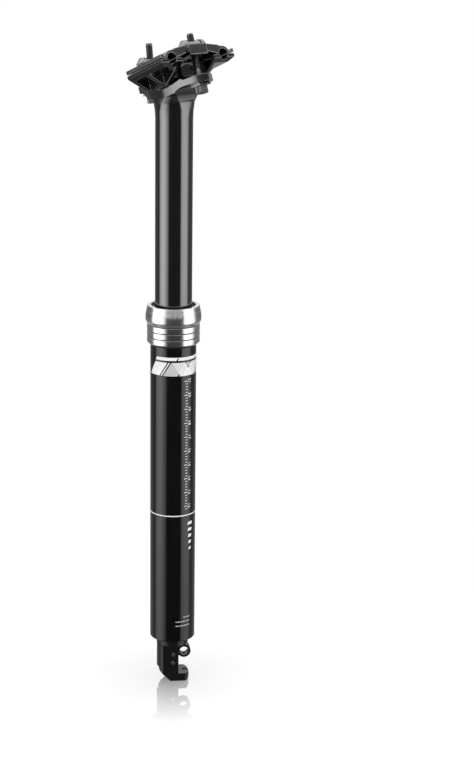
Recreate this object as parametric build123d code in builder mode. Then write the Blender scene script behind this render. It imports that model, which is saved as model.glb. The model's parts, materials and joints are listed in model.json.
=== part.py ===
from build123d import *
import os
from math import cos, radians, sin, sqrt

# Dropper seatpost: a fixed tube clamped in the bicycle, a sliding post on a gas spring,
# a two-bolt saddle clamp on its forged head and a cable actuator under the tube.
# Z runs up the post, X points to the front of the bicycle, Y to its left.
# The origin is on the post's axis at the upper end of the clamped wall. Millimetres.

os.makedirs("parts", exist_ok=True)

# Fits and cutting allowances
running = 0.08            # radial clearance of sliding and turning fits
thread_fit = 0.05         # radial gap left where two threads engage
pin_fit = 0.02            # radial gap round a pressed pin
free_gap = 0.3            # least gap between pieces that move past each other
overrun = 2.0             # how far a cutting shape runs past the wall it cuts

# Fixed tube
tube_od = 31.6
tube_bore = 27.8
tube_length = 214.4
tube_end_chamfer = 0.8
spigot_r = 15.0           # threaded upper end under the collar
spigot_height = 15.8
key_count = 3
keyway_width = 4.6
keyway_depth = 0.9
keyway_start = 60.0       # angle of the first keyway

# Sliding post
post_od = 25.4
post_wall = 2.0
travel = 125.0
head_margin = 2.2         # straight post left over the collar when lowered
post_tail = 80.0          # from the origin down to the raised post's lower end
bore_step = 193.0         # length of the wide bore, up from the lower end
upper_bore_r = 8.0
upper_bore_margin = 6.0   # the narrow bore ends this far under the straight post's top

# Collar and seals
collar_height = 27.5
collar_ring_r = 18.1
collar_band_r = 19.15
collar_top_r = 17.85
collar_chamfer = 1.9
groove_width = 0.7
groove_depth = 0.7
ring_pitch = 4.3
collar_ring_count = 3
band_low = 17.3
band_high = 20.5
seal_seat_r = 15.4
seal_seat_depth = 6.3
seal_lip_drop = 0.9
seal_lip_width = 1.0

# Slide bushings and keys
upper_bushing_length = 45.0
bushing_flange = 1.2
lower_bushing_length = 10.0
lower_bushing_rise = 4.0
lower_bushing_groove = 0.6
key_width = 4.0
key_length = 16.0
key_seat_depth = 0.95
key_top_gap = 0.3

# Gas spring cartridge
cartridge_od = 20.6
cartridge_wall = 1.75
cartridge_plug = 8.0
cartridge_flange = 1.5
seal_head_length = 12.0
clip_thickness = 1.2
clip_groove_depth = 0.6
clip_width = 2.0
clip_opening = 50.0
rod_r = 4.0
rod_bore_r = 1.58
rod_neck_r = 3.0
piston_length = 8.0
piston_rest_gap = 1.5
seal_ring_r = 0.75
float_length = 8.0
float_rest_height = 130.0  # floating piston above the post's lower end
valve_r = 3.0
valve_height = 3.0
fill_boss_r = 4.0
fill_boss_height = 5.0
fill_port_r = 1.2

# Foot of the fixed tube
plug_height = 8.0
stud_r = 7.5
stud_height = 7.2
rod_socket_depth = 3.6
neck_r = 11.15
neck_height = 5.6
foot_turn = -124.4        # direction in which the cable lever points
foot_drop = 32.6          # from the tube's end to the flat bottom
back_wall_r = 11.0
back_wall_drop = 22.6
lower_reach = 9.6
cheek_edge = 3.8
cheek_half = 8.2
slot_half = 6.2
slot_back = 7.6
slot_drop = neck_height   # the lever slot's ceiling, level with the neck's underside
shelf_r = 11.9
shelf_height = 5.6
shelf_root = 1.0
shelf_round = 2.4
slope_reach = 7.6
slope_rise = 7.6
neck_chamfer = 0.5
stop_bore_r = 2.6
stop_bore_depth = 4.4
cable_slot = 2.2
cable_x = 7.6

# Lever, its pins and the valve pin
lever_drop = 12.5         # pivot below the tube's end
lever_travel = 40.0
pin_r = 1.25
stop_pin_drop = 6.6
cam_r = 4.6
cam_offset = 2.4
cam_direction = 170.0     # where the cam's long side points, the lever raised
eye_reach = 8.2
eye_rise = 0.9
eye_half = 3.7
eye_r = 4.7
eye_bore_r = 3.2
arm_width = 5.6
lever_edge = 0.4
valve_pin_r = 1.5
flange_r = 3.3
flange_height = 1.0
flange_lift = 1.2
spring_wire_r = 0.35
spring_mean_r = 2.75
spring_turns = 5
spring_end_gap = 0.05

# Saddle clamp, in a frame along the rails: u forward, y left, w square to the rails
rail_tilt = 22.2
rail_offset = 0.4
rail_rise = 33.3          # rail axis above the straight post
rail_r = 3.5
rail_half_spacing = 22.0
seat_r = 46.0             # round underside of the cradle
seat_drop = 13.2          # lowest point of that underside below the rails
seat_back = 2.2           # that point lies this far behind the clamp's middle
wing_margin = 3.8         # the clamp's wings reach this far past the arches over the rails
clamp_rear = 26.3
clamp_front = 11.9
parting = 0.4             # half the gap between the two clamp halves

deck_edge = 2.2           # upright edge of the cradle's deck
deck_floor = 4.8          # ceiling of the side pockets below the rails
keel_half = 15.4
keel_floor = 13.4
keel_rear = 6.0
cavity_half = 13.4
cavity_front = 13.0
pocket_side_half = 16.2
web_thickness = 2.6
middle_web_u = -6.0

plate_thickness = 1.7
lip_width = 1.6
lip_slope = 0.8
lip_height = 2.9
valley_height = 1.7
valley_width = 2.0
hump_edge_half = 20.4
hump_edge_top = 5.2
hump_side_half = 18.2
hump_side_top = 6.2
hump_mid_half = 9.6
hump_mid_top = 7.4
hump_top = 8.0
hump_floor = 2.8
hump_floor_half = 8.0
boss_half = 11.4
boss_slope = 3.6
saddle_half = 7.4
saddle_floor = 2.0
saddle_wall = 0.9
nut_r = 4.0
nut_half = 4.8
front_nut_u = 22.6        # nut axes from the middle of the clamp and above the rails
front_nut_w = 9.6
rear_nut_u = 22.9
rear_nut_w = 7.0
saddle_gap = 0.5
bolt_slot_half = 4.5

# Bolts and their seats under the ears
bolt_r = 2.5
bolt_length = 35.0
bolt_tip_chamfer = 0.5
bolt_head_r = 4.25
bolt_head_height = 5.0
socket_across = 4.0
socket_depth = 3.0
washer_r = 6.0
washer_rise = 1.4
washer_base = 1.9
washer_half = 4.6
bolt_hole_gap = 0.9
swing_room = 1.6
head_relief = 1.0

# Forged head
front_ear_u = 27.5
front_ear_low = 9.2       # underside of the front ear below the rails
front_ear_top = 3.6
rear_ear_u = 21.7
rear_ear_low = 17.4
rear_ear_top = 13.0
ear_r = 8.7
ear_flat = 8.2
head_half = 13.3
flank_front = 14.0        # the head's broad flanks end here, before and behind its middle
flank_rear = 6.0
front_fillet = 8.5
rear_fillet = 13.0
# The round post swells into the head: height, half length, half width, corner and lean
waist_shares = (
    (0.4, 1.01, 1.01, 0.99, 0), (0.8, 1.05, 1.02, 0.92, 0.5), (1.1, 1.3, 1.02, 0.85, 0.9),
    (1.5, 3.2, 1.03, 0.7, 1),
)

# Values worked out from the sizes above
tube_r = tube_od / 2
bore_r = tube_bore / 2
post_r = post_od / 2
post_bore_r = post_r - post_wall
straight_top = collar_height + travel + head_margin
rail_z = straight_top + rail_rise
post_low = -post_tail
bore_step_z = post_low + bore_step
cartridge_r = cartridge_od / 2
cylinder_r = cartridge_r - cartridge_wall
foot_z = -tube_length
foot_bottom = foot_z - foot_drop
neck_low = foot_z - neck_height
shelf_top = foot_bottom + shelf_height
pivot_z = foot_z - lever_drop
stop_pin_z = pivot_z - stop_pin_drop
rod_foot = foot_z + stud_height - rod_socket_depth
clip_low = post_low + clip_thickness
seal_head_low = clip_low + clip_thickness
cylinder_low = seal_head_low + cartridge_flange
cylinder_top = bore_step_z - cartridge_flange
piston_low = cylinder_low + seal_head_length + piston_rest_gap
piston_top = piston_low + piston_length
ring_r = cylinder_r - running - seal_ring_r
centre_w = seat_r - seat_drop
arch_r = rail_r + plate_thickness
wing_half = rail_half_spacing + arch_r + wing_margin
valley_outer_half = wing_half - lip_width - lip_slope
valley_inner_half = valley_outer_half - valley_width
slope_back = (keel_floor - deck_edge) / (clamp_rear - keel_rear)

# Frames: along the rails, up and down beside the rails, across them, and round the foot
tilt = radians(rail_tilt)
rail_way = (cos(tilt), 0, -sin(tilt))
rail_up = (sin(tilt), 0, cos(tilt))
rail_origin = (rail_offset, 0, rail_z)
clamp_plan = Plane(origin=rail_origin, x_dir=rail_way, z_dir=rail_up)
clamp_side = Plane(origin=rail_origin, x_dir=rail_way, z_dir=(0, -1, 0))
clamp_end = Plane(origin=rail_origin, x_dir=(0, 1, 0), z_dir=rail_way)
turn = radians(foot_turn)
foot_way = (cos(turn), sin(turn), 0)
foot_plan = Plane(origin=(0, 0, 0), x_dir=foot_way, z_dir=(0, 0, 1))
foot_side = Plane(origin=(0, 0, 0), x_dir=foot_way, z_dir=(sin(turn), -cos(turn), 0))


def clamp_point(u, w):
    """World X and Z of a point given in the clamp's own u and w."""
    return (rail_offset + u * cos(tilt) + w * sin(tilt), rail_z - u * sin(tilt) + w * cos(tilt))


def cam_radius(angle):
    """From the pivot to the cam's rim, at an angle from the cam's long side."""
    swing = radians(angle)
    return cam_offset * cos(swing) + sqrt(cam_r ** 2 - (cam_offset * sin(swing)) ** 2)


def turned(name, *outline):
    """A ring turned about the post's axis from (radius, height) points."""
    with BuildPart() as ring:
        with BuildSketch(Plane.XZ):
            with BuildLine():
                Polyline(*outline, close=True)
            make_face()
        revolve(axis=Axis.Z)
    ring.part.label = name
    return ring


def seal_ring(name, centre_r, height):
    """A square rubber ring about the post's axis."""
    inner = centre_r - seal_ring_r
    outer = centre_r + seal_ring_r
    low = height - seal_ring_r
    high = height + seal_ring_r
    return turned(name, (inner, low), (outer, low), (outer, high), (inner, high))


def piston(name, low, length, hole_r):
    """A grooved piston for the cartridge, with a hole down its axis where it has one."""
    outer = cylinder_r - running
    floor = outer - 2 * seal_ring_r - thread_fit
    middle = low + length / 2
    with BuildPart() as disc:
        with BuildSketch(Plane.XZ):
            with BuildLine():
                Polyline(
                    (hole_r, low), (outer, low), (outer, middle - seal_ring_r),
                    (floor, middle - seal_ring_r), (floor, middle + seal_ring_r),
                    (outer, middle + seal_ring_r), (outer, low + length), (hole_r, low + length),
                    close=True,
                )
            make_face()
        revolve(axis=Axis.Z)
    disc.part.label = name
    return disc


# The fixed tube, with keyways broached up from its lower end
with BuildPart() as outer_tube:
    with BuildSketch(Plane.XZ):
        with BuildLine():
            Polyline(
                (bore_r, foot_z), (tube_r - tube_end_chamfer, foot_z),
                (tube_r, foot_z + tube_end_chamfer), (tube_r, 0), (spigot_r, 0),
                (spigot_r, spigot_height), (bore_r, spigot_height), close=True,
            )
        make_face()
    revolve(axis=Axis.Z)
    with BuildSketch(Plane.XY.offset(foot_z - overrun)):
        with PolarLocations(bore_r, key_count, start_angle=keyway_start):
            Rectangle(2 * keyway_depth, keyway_width)
    extrude(amount=tube_length + overrun - upper_bushing_length + free_gap, mode=Mode.SUBTRACT)
outer_tube.part.label = "outer_tube"

# The turned collar that screws over the tube's upper end
flange_high = spigot_height + bushing_flange
seal_low = collar_height - seal_seat_depth
seal_clear_r = post_r + seal_lip_width
collar_steps = []
for index in range(collar_ring_count):
    groove_high = collar_chamfer + (index + 1) * ring_pitch
    groove_low = groove_high - groove_width
    collar_steps += [
        (collar_ring_r, groove_low), (collar_ring_r - groove_depth, groove_low),
        (collar_ring_r - groove_depth, groove_high), (collar_ring_r, groove_high),
    ]
lock_collar = turned(
    "lock_collar", (tube_r, 0), (collar_ring_r, collar_chamfer), *collar_steps,
    (collar_band_r, band_low), (collar_band_r, band_high), (collar_top_r, collar_height),
    (seal_seat_r, collar_height), (seal_seat_r, seal_low), (seal_clear_r, seal_low),
    (seal_clear_r, flange_high), (spigot_r + thread_fit, flange_high), (spigot_r + thread_fit, 0),
)

# The rubber wiper in the collar's mouth, with its lip round the post
wiper_in = post_r + running
wiper_out = seal_seat_r - pin_fit
wiper_rim = collar_height - seal_lip_drop / 2
wiper_lip = collar_height - seal_lip_drop
wiper_seal = turned(
    "wiper_seal", (wiper_in, seal_low), (wiper_out, seal_low), (wiper_out, wiper_rim),
    (wiper_out - seal_lip_width / 2, wiper_rim), (seal_clear_r, wiper_lip - seal_lip_drop),
    (wiper_in + seal_lip_width / 2, wiper_lip), (wiper_in, wiper_lip),
)

# The flanged sleeve that guides the post in the tube's mouth
sleeve_r = bore_r - thread_fit
upper_bushing = turned(
    "upper_bushing", (wiper_in, -upper_bushing_length), (sleeve_r, -upper_bushing_length),
    (sleeve_r, spigot_height), (spigot_r - thread_fit, spigot_height),
    (spigot_r - thread_fit, flange_high), (wiper_in, flange_high),
)

# The threaded plug in the tube's lower end
end_plug = turned(
    "end_plug", (stud_r + thread_fit, foot_z), (sleeve_r, foot_z),
    (sleeve_r, foot_z + plug_height), (stud_r + thread_fit, foot_z + plug_height),
)

# The forged body of the actuator's foot: two cheeks, a round back wall and a cable shelf
with BuildPart() as foot_body:
    with BuildSketch(foot_side):
        with BuildLine():
            Polyline(
                (-back_wall_r, neck_low), (-back_wall_r, foot_z - back_wall_drop),
                (-lower_reach, foot_z - back_wall_drop), (-lower_reach, foot_bottom + slope_rise),
                (slope_reach - lower_reach, foot_bottom), (shelf_r, foot_bottom),
                (shelf_r, shelf_top), (cheek_edge, shelf_top), (cheek_edge, neck_low), close=True,
            )
        make_face()
    extrude(amount=cheek_half, both=True)
    shelf_corners = foot_body.edges().filter_by(Axis((0, 0, 0), foot_side.z_dir))
    shelf_corners = [edge for edge in shelf_corners
                     if foot_side.to_local_coords(edge.center()).X > shelf_r - free_gap]
    fillet(shelf_corners, radius=shelf_round)
    with BuildSketch(Plane.XZ):
        with BuildLine():
            Polyline(
                (0, foot_bottom), (shelf_r, foot_bottom), (shelf_r, shelf_top + free_gap),
                (back_wall_r, shelf_top + free_gap), (back_wall_r, neck_low), (0, neck_low),
                close=True,
            )
        make_face()
    revolve(axis=Axis.Z, mode=Mode.INTERSECT)

# The bracket is that body under its neck and threaded stud, slotted for the lever
spring_room_r = flange_r + thread_fit
with BuildPart() as actuator_bracket:
    with BuildSketch(Plane.XY.offset(neck_low)):
        Circle(neck_r)
    extrude(amount=neck_height)
    chamfer(edges().group_by(Axis.Z)[0], length=neck_chamfer)
    with BuildSketch(Plane.XY.offset(foot_z)):
        Circle(stud_r)
    extrude(amount=stud_height)
    add(foot_body.part)
    with BuildSketch(foot_side):
        with BuildLine():
            Polyline(
                (-slot_back, foot_z - slot_drop), (-slot_back, foot_bottom - overrun),
                (shelf_root, foot_bottom - overrun), (shelf_root, shelf_top),
                (shelf_r + overrun, shelf_top), (shelf_r + overrun, foot_z - slot_drop), close=True,
            )
        make_face()
    extrude(amount=slot_half, both=True, mode=Mode.SUBTRACT)
    with BuildSketch(Plane.XY.offset(rod_foot)):
        Circle(rod_r + thread_fit)
    extrude(amount=rod_socket_depth + overrun, mode=Mode.SUBTRACT)
    with BuildSketch(Plane.XY.offset(foot_z - slot_drop - overrun)):
        Circle(spring_room_r)
    extrude(amount=rod_foot - foot_z + slot_drop + overrun, mode=Mode.SUBTRACT)
    with BuildSketch(foot_side):
        with Locations((0, pivot_z), (0, stop_pin_z)):
            Circle(pin_r + pin_fit)
    extrude(amount=cheek_half + overrun, both=True, mode=Mode.SUBTRACT)
    with BuildSketch(foot_plan.offset(foot_bottom)):
        with Locations((cable_x, 0)):
            Circle(stop_bore_r)
    extrude(amount=stop_bore_depth, mode=Mode.SUBTRACT)
    with BuildSketch(foot_plan.offset(foot_bottom)):
        with Locations((cable_x, 0)):
            Circle(cable_slot / 2)
        with Locations((cable_x + shelf_r / 2, 0)):
            Rectangle(shelf_r, cable_slot)
    extrude(amount=shelf_height, mode=Mode.SUBTRACT)
actuator_bracket.part.label = "actuator_bracket"


def cross_pin(name, height):
    """A pin pressed through both cheeks of the bracket."""
    with BuildPart() as pin:
        with BuildSketch(foot_side):
            with Locations((0, height)):
                Circle(pin_r)
        extrude(amount=cheek_half, both=True)
    pin.part.label = name
    return pin


lever_pin = cross_pin("lever_pin", pivot_z)
stop_pin = cross_pin("stop_pin", stop_pin_z)

# The cable lever: a cam under the valve pin, an arm and the eye for the cable's barrel
lever_half = slot_half - free_gap
cam_angle = radians(cam_direction)
eye_z = pivot_z + eye_rise
with BuildPart() as actuator_lever:
    with BuildSketch(foot_side):
        with Locations((cam_offset * cos(cam_angle), pivot_z + cam_offset * sin(cam_angle))):
            Circle(cam_r)
    extrude(amount=lever_half, both=True)
    with BuildSketch(foot_side):
        with Locations((eye_reach / 2, (pivot_z + eye_z) / 2)):
            Rectangle(eye_reach, arm_width)
        with Locations((eye_reach, eye_z)):
            Circle(eye_r)
    extrude(amount=eye_half, both=True)
    lever_rims = actuator_lever.faces().filter_by(Axis((0, 0, 0), foot_side.z_dir))
    chamfer(lever_rims.sort_by(Axis((0, 0, 0), foot_side.z_dir))[0].edges(), length=lever_edge)
    with BuildSketch(foot_side):
        with Locations((0, pivot_z)):
            Circle(pin_r + running)
        with Locations((eye_reach, eye_z)):
            Circle(eye_bore_r)
    extrude(amount=lever_half + overrun, both=True, mode=Mode.SUBTRACT)
    with BuildSketch(foot_side):
        with Locations((eye_reach, eye_z - eye_r)):
            Rectangle(cable_slot, 2 * eye_r)
    extrude(amount=cable_slot / 2, both=True, mode=Mode.SUBTRACT)
actuator_lever.part.label = "actuator_lever"

# The valve pin: a round tip over the cam, a spring flange and a long stem up the rod
top_angle = cam_direction - 90
tip_z = pivot_z + cam_radius(top_angle) + free_gap
flange_low = tip_z + flange_lift
flange_top = flange_low + flange_height
valve_low = piston_top + free_gap
with BuildPart() as push_pin:
    with BuildSketch(Plane.XZ):
        with BuildLine():
            Line((0, tip_z), (0, valve_low))
            Polyline(
                (0, valve_low), (valve_pin_r, valve_low), (valve_pin_r, flange_top),
                (flange_r, flange_top), (flange_r, flange_low), (valve_pin_r, flange_low),
                (valve_pin_r, tip_z + valve_pin_r),
            )
            RadiusArc((valve_pin_r, tip_z + valve_pin_r), (0, tip_z), valve_pin_r)
        make_face()
    revolve(axis=Axis.Z)
push_pin.part.label = "push_pin"

# The return spring between the valve pin's flange and the rod's lower end
spring_low = flange_top + spring_end_gap + spring_wire_r
spring_height = rod_foot - flange_top - 2 * (spring_end_gap + spring_wire_r)
spring_pitch = spring_height / spring_turns
with BuildPart() as return_spring:
    with BuildLine() as coil:
        Helix(pitch=spring_pitch, height=spring_height, radius=spring_mean_r, center=(0, 0, spring_low))
    with BuildSketch(Plane(origin=coil.line @ 0, z_dir=coil.line % 0)):
        RegularPolygon(spring_wire_r, 6)
    sweep(path=coil.line)
return_spring.part.label = "return_spring"

# The cartridge's hollow rod, held in the bracket's stud, and its piston
with BuildPart() as cartridge_rod:
    with BuildSketch(Plane.XZ):
        with BuildLine():
            Polyline(
                (rod_bore_r, rod_foot), (rod_r, rod_foot), (rod_r, piston_low),
                (rod_neck_r, piston_low), (rod_neck_r, piston_top), (rod_bore_r, piston_top),
                close=True,
            )
        make_face()
    revolve(axis=Axis.Z)
cartridge_rod.part.label = "cartridge_rod"
main_piston = piston("main_piston", piston_low, piston_length, rod_neck_r + thread_fit)
piston_ring = seal_ring("piston_ring", ring_r, piston_low + piston_length / 2)
valve_poppet = turned(
    "valve_poppet", (0, valve_low), (valve_pin_r, valve_low), (valve_r, valve_low + valve_height / 2),
    (valve_r, valve_low + valve_height), (0, valve_low + valve_height),
)

# The cartridge's cylinder, closed by the seal head below and the filling plug above
cartridge_tube = turned(
    "cartridge_tube", (cylinder_r, cylinder_low), (cartridge_r, cylinder_low),
    (cartridge_r, cylinder_top), (cylinder_r, cylinder_top),
)
plug_r = cylinder_r - thread_fit
seal_mid = cylinder_low + seal_head_length / 2
seal_groove_r = rod_r + running + 2 * seal_ring_r + thread_fit
seal_head = turned(
    "seal_head", (rod_r + running, seal_head_low), (cartridge_r, seal_head_low),
    (cartridge_r, cylinder_low), (plug_r, cylinder_low), (plug_r, cylinder_low + seal_head_length),
    (rod_r + running, cylinder_low + seal_head_length), (rod_r + running, seal_mid + seal_ring_r),
    (seal_groove_r, seal_mid + seal_ring_r), (seal_groove_r, seal_mid - seal_ring_r),
    (rod_r + running, seal_mid - seal_ring_r),
)
rod_seal = seal_ring("rod_seal", rod_r + running + seal_ring_r, seal_mid)
cartridge_cap = turned(
    "cartridge_cap", (fill_port_r, cylinder_top - cartridge_plug), (plug_r, cylinder_top - cartridge_plug),
    (plug_r, cylinder_top), (cartridge_r, cylinder_top), (cartridge_r, bore_step_z),
    (fill_boss_r, bore_step_z), (fill_boss_r, bore_step_z + fill_boss_height),
    (fill_port_r, bore_step_z + fill_boss_height),
)
float_low = post_low + float_rest_height
floating_piston = piston("floating_piston", float_low, float_length, 0)
floating_ring = seal_ring("floating_ring", ring_r, float_low + float_length / 2)

# The open spring clip that holds the cartridge in the post
clip_outer = post_bore_r + clip_groove_depth
clip_inner = clip_outer - clip_width
with BuildPart() as cartridge_clip:
    with BuildSketch(Plane.XY.offset(clip_low)):
        with BuildLine():
            CenterArc((0, 0), clip_outer, clip_opening / 2, 360 - clip_opening)
            CenterArc((0, 0), clip_inner, clip_opening / 2, 360 - clip_opening)
            for side in (1, -1):
                edge_angle = radians(side * clip_opening / 2)
                Line(
                    (clip_inner * cos(edge_angle), clip_inner * sin(edge_angle)),
                    (clip_outer * cos(edge_angle), clip_outer * sin(edge_angle)),
                )
        make_face()
    extrude(amount=clip_thickness)
cartridge_clip.part.label = "cartridge_clip"

# The anti-rotation keys in their seats on the post, one in each keyway
key_floor_r = post_r - key_seat_depth
key_middle = -upper_bushing_length - key_top_gap - key_length / 2
key_planes = []
for index in range(key_count):
    key_angle = radians(keyway_start + index * 360 / key_count)
    outward = (cos(key_angle), sin(key_angle), 0)
    key_planes.append(Plane(
        origin=(key_floor_r * cos(key_angle), key_floor_r * sin(key_angle), key_middle),
        x_dir=(0, 0, 1), z_dir=outward,
    ))
with BuildPart() as guide_keys:
    for plane in key_planes:
        with BuildSketch(plane):
            SlotOverall(key_length, key_width)
        extrude(amount=bore_r + keyway_depth - free_gap - key_floor_r)
guide_keys.part.label = "guide_keys"

# The ring bushing round the post's lower end
bushing_low = post_low + lower_bushing_rise
bushing_high = bushing_low + lower_bushing_length
bushing_floor_r = post_r - lower_bushing_groove
lower_bushing = turned(
    "lower_bushing", (bushing_floor_r + pin_fit, bushing_low), (bore_r - running, bushing_low),
    (bore_r - running, bushing_high), (bushing_floor_r + pin_fit, bushing_high),
)


def bolt_frame(ear_u, ear_w, nut_u, nut_w):
    """A plane at a bolt's seat under its ear: Z up the bolt, X along the rails."""
    reach = nut_u - ear_u
    rise = nut_w - ear_w
    length = sqrt(reach ** 2 + rise ** 2)
    along = Vector(*rail_way) * (reach / length) + Vector(*rail_up) * (rise / length)
    across = Vector(*rail_way) * (rise / length) - Vector(*rail_up) * (reach / length)
    seat_x, seat_z = clamp_point(ear_u, ear_w)
    return Plane(origin=(seat_x, 0, seat_z), x_dir=across, z_dir=along)


front_bolt_frame = bolt_frame(front_ear_u, -front_ear_low, front_nut_u, front_nut_w)
rear_bolt_frame = bolt_frame(-rear_ear_u, -rear_ear_low, -rear_nut_u, rear_nut_w)
bolt_frames = {"front": front_bolt_frame, "rear": rear_bolt_frame}
nut_places = {"front": (front_nut_u, front_nut_w), "rear": (-rear_nut_u, rear_nut_w)}


def frame_side(frame):
    """The upright plane through a bolt, with the bolt's own X and Z as its axes."""
    return Plane(origin=frame.origin, x_dir=frame.x_dir, z_dir=(0, -1, 0))


# The forged head's side view: ears over round fillets into the post
front_low_x, front_low_z = clamp_point(front_ear_u, -front_ear_low)
rear_low_x, rear_low_z = clamp_point(-rear_ear_u, -rear_ear_low)
front_across = front_bolt_frame.x_dir
rear_across = rear_bolt_frame.x_dir
ear_end = ear_r + overrun
top_front = clamp_point(front_ear_u + ear_end, -front_ear_top)
top_front_in = clamp_point(front_ear_u - ear_r, -front_ear_top)
top_rear = clamp_point(-rear_ear_u - ear_end, -rear_ear_top)
top_rear_in = clamp_point(-rear_ear_u + ear_r / 2, -rear_ear_top)
front_end = (front_low_x + front_across.X * ear_end, front_low_z + front_across.Z * ear_end)
rear_end = (rear_low_x - rear_across.X * ear_end, rear_low_z - rear_across.Z * ear_end)
front_corner_z = front_low_z + (post_r - front_low_x) * front_across.Z / front_across.X
rear_corner_z = rear_low_z + (-post_r - rear_low_x) * rear_across.Z / rear_across.X
with BuildPart() as head_block:
    with BuildSketch(Plane.XZ):
        with BuildLine():
            FilletPolyline(
                (post_r, straight_top), (post_r, front_corner_z), front_end, top_front,
                radius=(front_fillet, 0),
            )
            Line(top_front, top_front_in)
            Line(top_front_in, clamp_point(0, -parting))
            Line(clamp_point(0, -parting), top_rear_in)
            Line(top_rear_in, top_rear)
            FilletPolyline(
                top_rear, rear_end, (-post_r, rear_corner_z), (-post_r, straight_top),
                radius=(0, rear_fillet),
            )
            Line((-post_r, straight_top), (post_r, straight_top))
        make_face()
    extrude(amount=head_half, both=True)
    with BuildSketch(clamp_plan):
        with Locations((front_ear_u, 0), (-rear_ear_u, 0)):
            Circle(ear_r)
        with Locations(((flank_front - flank_rear) / 2, 0)):
            Rectangle(flank_front + flank_rear, 2 * head_half)
        make_hull()
    extrude(amount=rail_rise + tube_r, both=True, mode=Mode.INTERSECT)

# The round post grows into that block through a swelling waist that leans with the ears
ear_lean = (rear_low_z - front_low_z) / (front_low_x - rear_low_x)
with BuildPart() as head_waist:
    with BuildSketch(Plane.XY.offset(straight_top)):
        RectangleRounded(2 * post_r, 2 * post_r, post_r - pin_fit)
    for height_share, length_share, width_share, corner_share, lean_share in waist_shares:
        leaning = Plane(
            origin=(0, 0, straight_top + height_share * post_r), x_dir=(1, 0, -ear_lean * lean_share),
            z_dir=(ear_lean * lean_share, 0, 1),
        )
        with BuildSketch(leaning):
            RectangleRounded(
                2 * length_share * post_r, 2 * width_share * post_r, corner_share * post_r,
            )
    loft(ruled=True)
    with BuildSketch(leaning):
        RectangleRounded(2 * length_share * post_r, 2 * width_share * post_r, corner_share * post_r)
    extrude(amount=rail_rise)

# The sliding post and its head are one forging: the cradle's round seat is cut in its top
seat_x, seat_z = clamp_point(-seat_back, centre_w)
with BuildPart() as stanchion:
    add(head_block.part)
    add(head_waist.part, mode=Mode.INTERSECT)
    with BuildSketch(Plane.XZ):
        with Locations((seat_x, seat_z)):
            Circle(seat_r + free_gap)
    extrude(amount=head_half + overrun, both=True, mode=Mode.SUBTRACT)
    with BuildSketch(Plane.XY.offset(post_low)):
        Circle(post_r)
    extrude(amount=straight_top - post_low)
    with BuildSketch(Plane.XY.offset(post_low)):
        Circle(post_bore_r)
    extrude(amount=bore_step, mode=Mode.SUBTRACT)
    with BuildSketch(Plane.XY.offset(bore_step_z)):
        Circle(upper_bore_r)
    extrude(amount=straight_top - upper_bore_margin - bore_step_z, mode=Mode.SUBTRACT)
    with BuildSketch(Plane.XY.offset(clip_low)):
        Circle(clip_outer)
    extrude(amount=clip_thickness, mode=Mode.SUBTRACT)
    with BuildSketch(Plane.XY.offset(bushing_low)):
        Circle(post_r + overrun)
        Circle(bushing_floor_r, mode=Mode.SUBTRACT)
    extrude(amount=lower_bushing_length, mode=Mode.SUBTRACT)
    for plane in key_planes:
        with BuildSketch(plane):
            SlotOverall(key_length, key_width)
        extrude(amount=key_seat_depth + overrun, mode=Mode.SUBTRACT)
    for frame in bolt_frames.values():
        with BuildSketch(frame):
            SlotOverall(2 * (bolt_r + bolt_hole_gap + swing_room), 2 * (bolt_r + bolt_hole_gap))
        extrude(amount=seat_drop, both=True, mode=Mode.SUBTRACT)
        with BuildSketch(frame_side(frame)):
            with Locations((0, washer_rise - washer_r)):
                Circle(washer_r + free_gap)
        extrude(amount=washer_half + free_gap, both=True, mode=Mode.SUBTRACT)
        with BuildSketch(frame):
            Circle(bolt_head_r + head_relief)
        extrude(amount=-(washer_base + bolt_head_height + overrun), mode=Mode.SUBTRACT)
    for ear_u, way in ((front_ear_u, 1), (-rear_ear_u, -1)):
        with BuildSketch(clamp_plan):
            with Locations((ear_u + way * (ear_flat + ear_r / 2), 0)):
                Rectangle(ear_r, 2 * ear_r)
        extrude(amount=-rail_rise, mode=Mode.SUBTRACT)
stanchion.part.label = "stanchion"

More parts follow.
